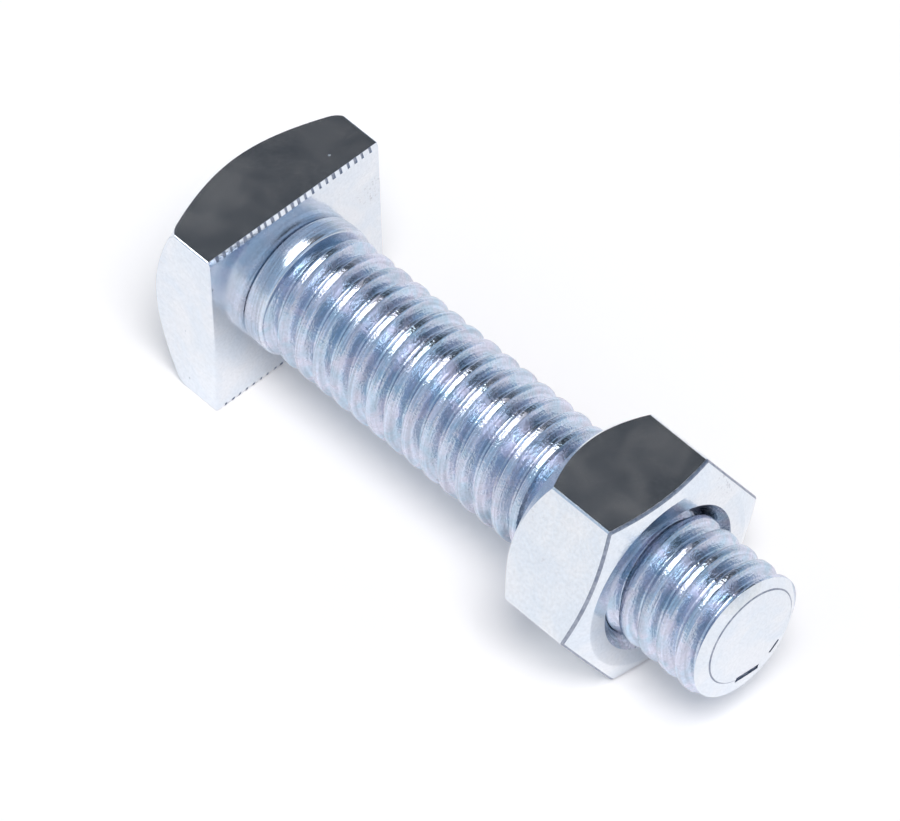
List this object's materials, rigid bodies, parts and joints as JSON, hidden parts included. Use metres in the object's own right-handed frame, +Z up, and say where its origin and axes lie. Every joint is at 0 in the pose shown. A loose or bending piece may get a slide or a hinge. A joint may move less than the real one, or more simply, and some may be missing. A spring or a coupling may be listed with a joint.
{
  "type": "battery terminal bolt",
  "caption": "Square-head bolt with a hexagon nut on its thread, which clamps a cable lug or clamp ear to a battery terminal.",
  "frame": {"origin": "centre of the head's bearing face, on the bolt's axis", "axes": "+X along the axis from the head to the pointed end, +Z up with the set lying on a flat of the head and a flat of the nut"},
  "size_m": [0.04, 0.0142, 0.0126],
  "materials": {
    "zinc_bolt": "bright blue-white zinc plating on steel",
    "zinc_nut": "bright blue-white zinc plating on steel"
  },
  "bodies": {
    "bolt": {"square_head_bolt": "zinc_bolt"},
    "nut": {"hex_nut": "zinc_nut"}
  },
  "joints": [
    {"name": "nut_travel", "type": "slide", "parent": "bolt", "child": "nut", "axis": [1, 0, 0], "range_m": [-0.02116, 0.01411]}
  ]
}
